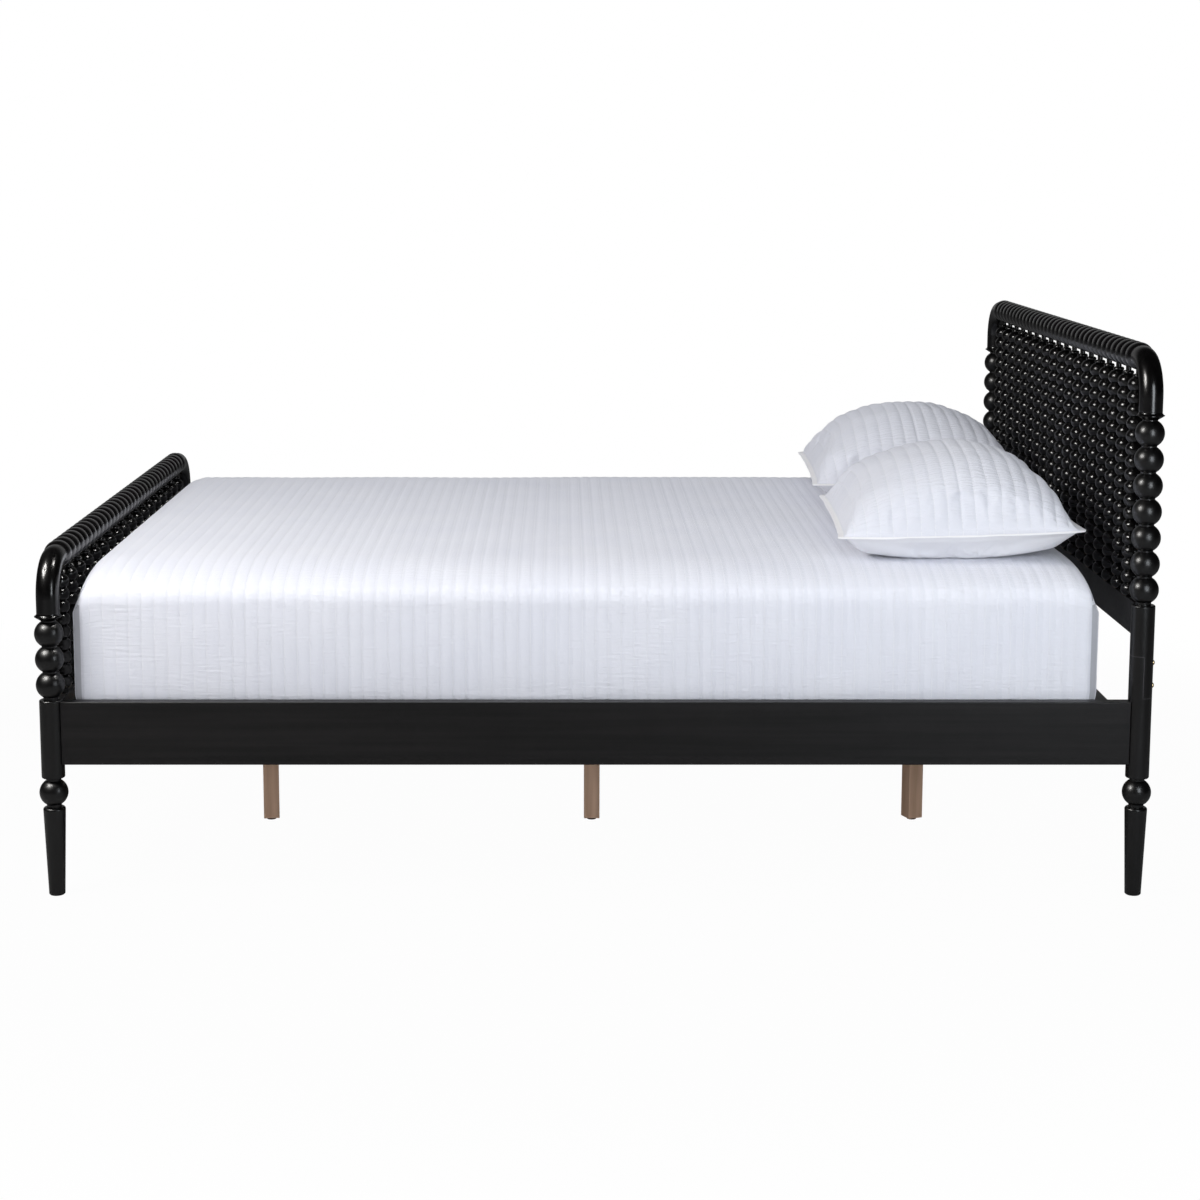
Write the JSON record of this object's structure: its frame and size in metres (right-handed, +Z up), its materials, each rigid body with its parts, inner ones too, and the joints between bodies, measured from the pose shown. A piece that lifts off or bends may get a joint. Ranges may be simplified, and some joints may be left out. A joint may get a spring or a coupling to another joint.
{
  "type": "platform bed",
  "caption": "Black platform bed with bobbin-turned posts, spindles and ringed rails, slats on centre beams, a quilted mattress cover and pillows.",
  "frame": {"origin": "on the floor, under the middle of the bed", "axes": "+X towards the head, +Y towards the sleeper's right, +Z up"},
  "size_m": [2.1779, 1.616, 1.082],
  "materials": {
    "black_painted_wood": "satin black paint",
    "bare_wood": "bare sanded wood",
    "zinc_steel": "zinc plated",
    "brass": "polished",
    "black_plastic": "matte",
    "ticking": "woven",
    "quilted_cotton": "quilted cotton"
  },
  "bodies": {
    "frame": {"barrel_nuts": "zinc_steel", "beam_hangers": "zinc_steel", "centre_beam_left": "bare_wood", "centre_beam_right": "bare_wood", "foot_cross_rail": "black_painted_wood", "foot_elbow_left": "black_painted_wood", "foot_elbow_right": "black_painted_wood", "foot_post_left": "black_painted_wood", "foot_post_right": "black_painted_wood", "foot_spindles": "black_painted_wood", "foot_top_rail": "black_painted_wood", "hanger_screws": "zinc_steel", "head_bottom_rail": "black_painted_wood", "head_cross_rail": "black_painted_wood", "head_elbow_left": "black_painted_wood", "head_elbow_right": "black_painted_wood", "head_leg_left": "black_painted_wood", "head_leg_right": "black_painted_wood", "head_post_left": "black_painted_wood", "head_post_right": "black_painted_wood", "head_spindles": "black_painted_wood", "head_top_rail": "black_painted_wood", "lap_bolts": "brass", "lap_inserts": "brass", "ledge_screws": "zinc_steel", "leg_glides": "black_plastic", "leg_hanger_bolts": "zinc_steel", "rail_bolts": "zinc_steel", "rail_dowels": "bare_wood", "side_rail_left": "black_painted_wood", "side_rail_right": "black_painted_wood", "slat_01": "bare_wood", "slat_02": "bare_wood", "slat_03": "bare_wood", "slat_04": "bare_wood", "slat_05": "bare_wood", "slat_06": "bare_wood", "slat_07": "bare_wood", "slat_08": "bare_wood", "slat_09": "bare_wood", "slat_10": "bare_wood", "slat_11": "bare_wood", "slat_12": "bare_wood", "slat_13": "bare_wood", "slat_ledge_left": "bare_wood", "slat_ledge_right": "bare_wood", "slat_screws": "zinc_steel", "support_leg_1": "bare_wood", "support_leg_2": "bare_wood", "support_leg_3": "bare_wood", "support_leg_4": "bare_wood", "support_leg_5": "bare_wood", "support_leg_6": "bare_wood"},
    "mattress": {"mattress": "ticking", "coverlet": "quilted_cotton"},
    "pillow_left": {"pillow_left": "quilted_cotton"},
    "pillow_right": {"pillow_right": "quilted_cotton"}
  },
  "joints": [
    {"name": "mattress_lift", "type": "slide", "parent": "frame", "child": "mattress", "axis": [0, 0, 1], "range_m": [0, 0.8]},
    {"name": "pillow_left_lift", "type": "slide", "parent": "mattress", "child": "pillow_left", "axis": [0, 0, 1], "range_m": [0, 0.5]},
    {"name": "pillow_right_lift", "type": "slide", "parent": "mattress", "child": "pillow_right", "axis": [0, 0, 1], "range_m": [0, 0.5]}
  ]
}
